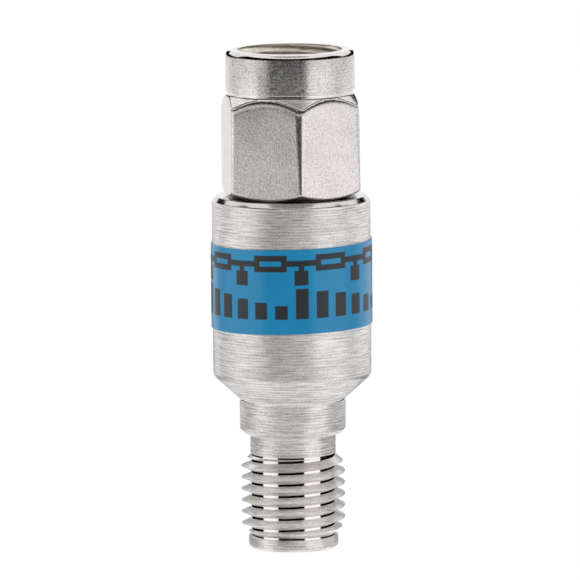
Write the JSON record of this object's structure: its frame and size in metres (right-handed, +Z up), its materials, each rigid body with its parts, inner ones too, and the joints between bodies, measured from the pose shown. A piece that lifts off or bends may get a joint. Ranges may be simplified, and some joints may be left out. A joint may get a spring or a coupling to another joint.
{
  "type": "rf attenuator",
  "caption": "Fixed coaxial attenuator: turned steel barrel with a blue film band, a captive male hexagon coupling nut at one end and a threaded female socket at the other.",
  "frame": {"origin": "centre of the female end's face, which the part stands on", "axes": "+Z up along the line to the male end, -Y towards the picture's viewer"},
  "size_m": [0.0098, 0.0098, 0.0307],
  "materials": {
    "turned_steel": "passivated stainless steel with fine turning lines",
    "nut_steel": "passivated stainless steel, satin flats and a bright rim",
    "ring_bronze": "hard bronze spring ring",
    "gold_plate": "gold plate over a copper alloy",
    "carrier_brass": "machined brass",
    "ptfe": "white fluoropolymer, waxy",
    "chip_ceramic": "alumina with a resistive film",
    "blue_film": "glossy blue film"
  },
  "bodies": {
    "line": {"barrel": "turned_steel", "female_dielectric": "ptfe", "female_contact": "gold_plate", "carrier_front": "carrier_brass", "carrier_rear": "carrier_brass", "resistor_chip": "chip_ceramic", "male_dielectric": "ptfe", "male_pin": "gold_plate", "male_ferrule": "turned_steel", "label_band": "blue_film"},
    "ring": {"retaining_ring": "ring_bronze"},
    "nut": {"coupling_nut": "nut_steel"}
  },
  "joints": [
    {"name": "nut_play", "type": "slide", "parent": "line", "child": "ring", "axis": [0, 0, 1], "range_m": [0, 0.0003]},
    {"name": "nut_spin", "type": "hinge", "parent": "ring", "child": "nut", "pos_m": [0, 0, 0.026], "axis": [0, 0, 1], "continuous": true}
  ]
}
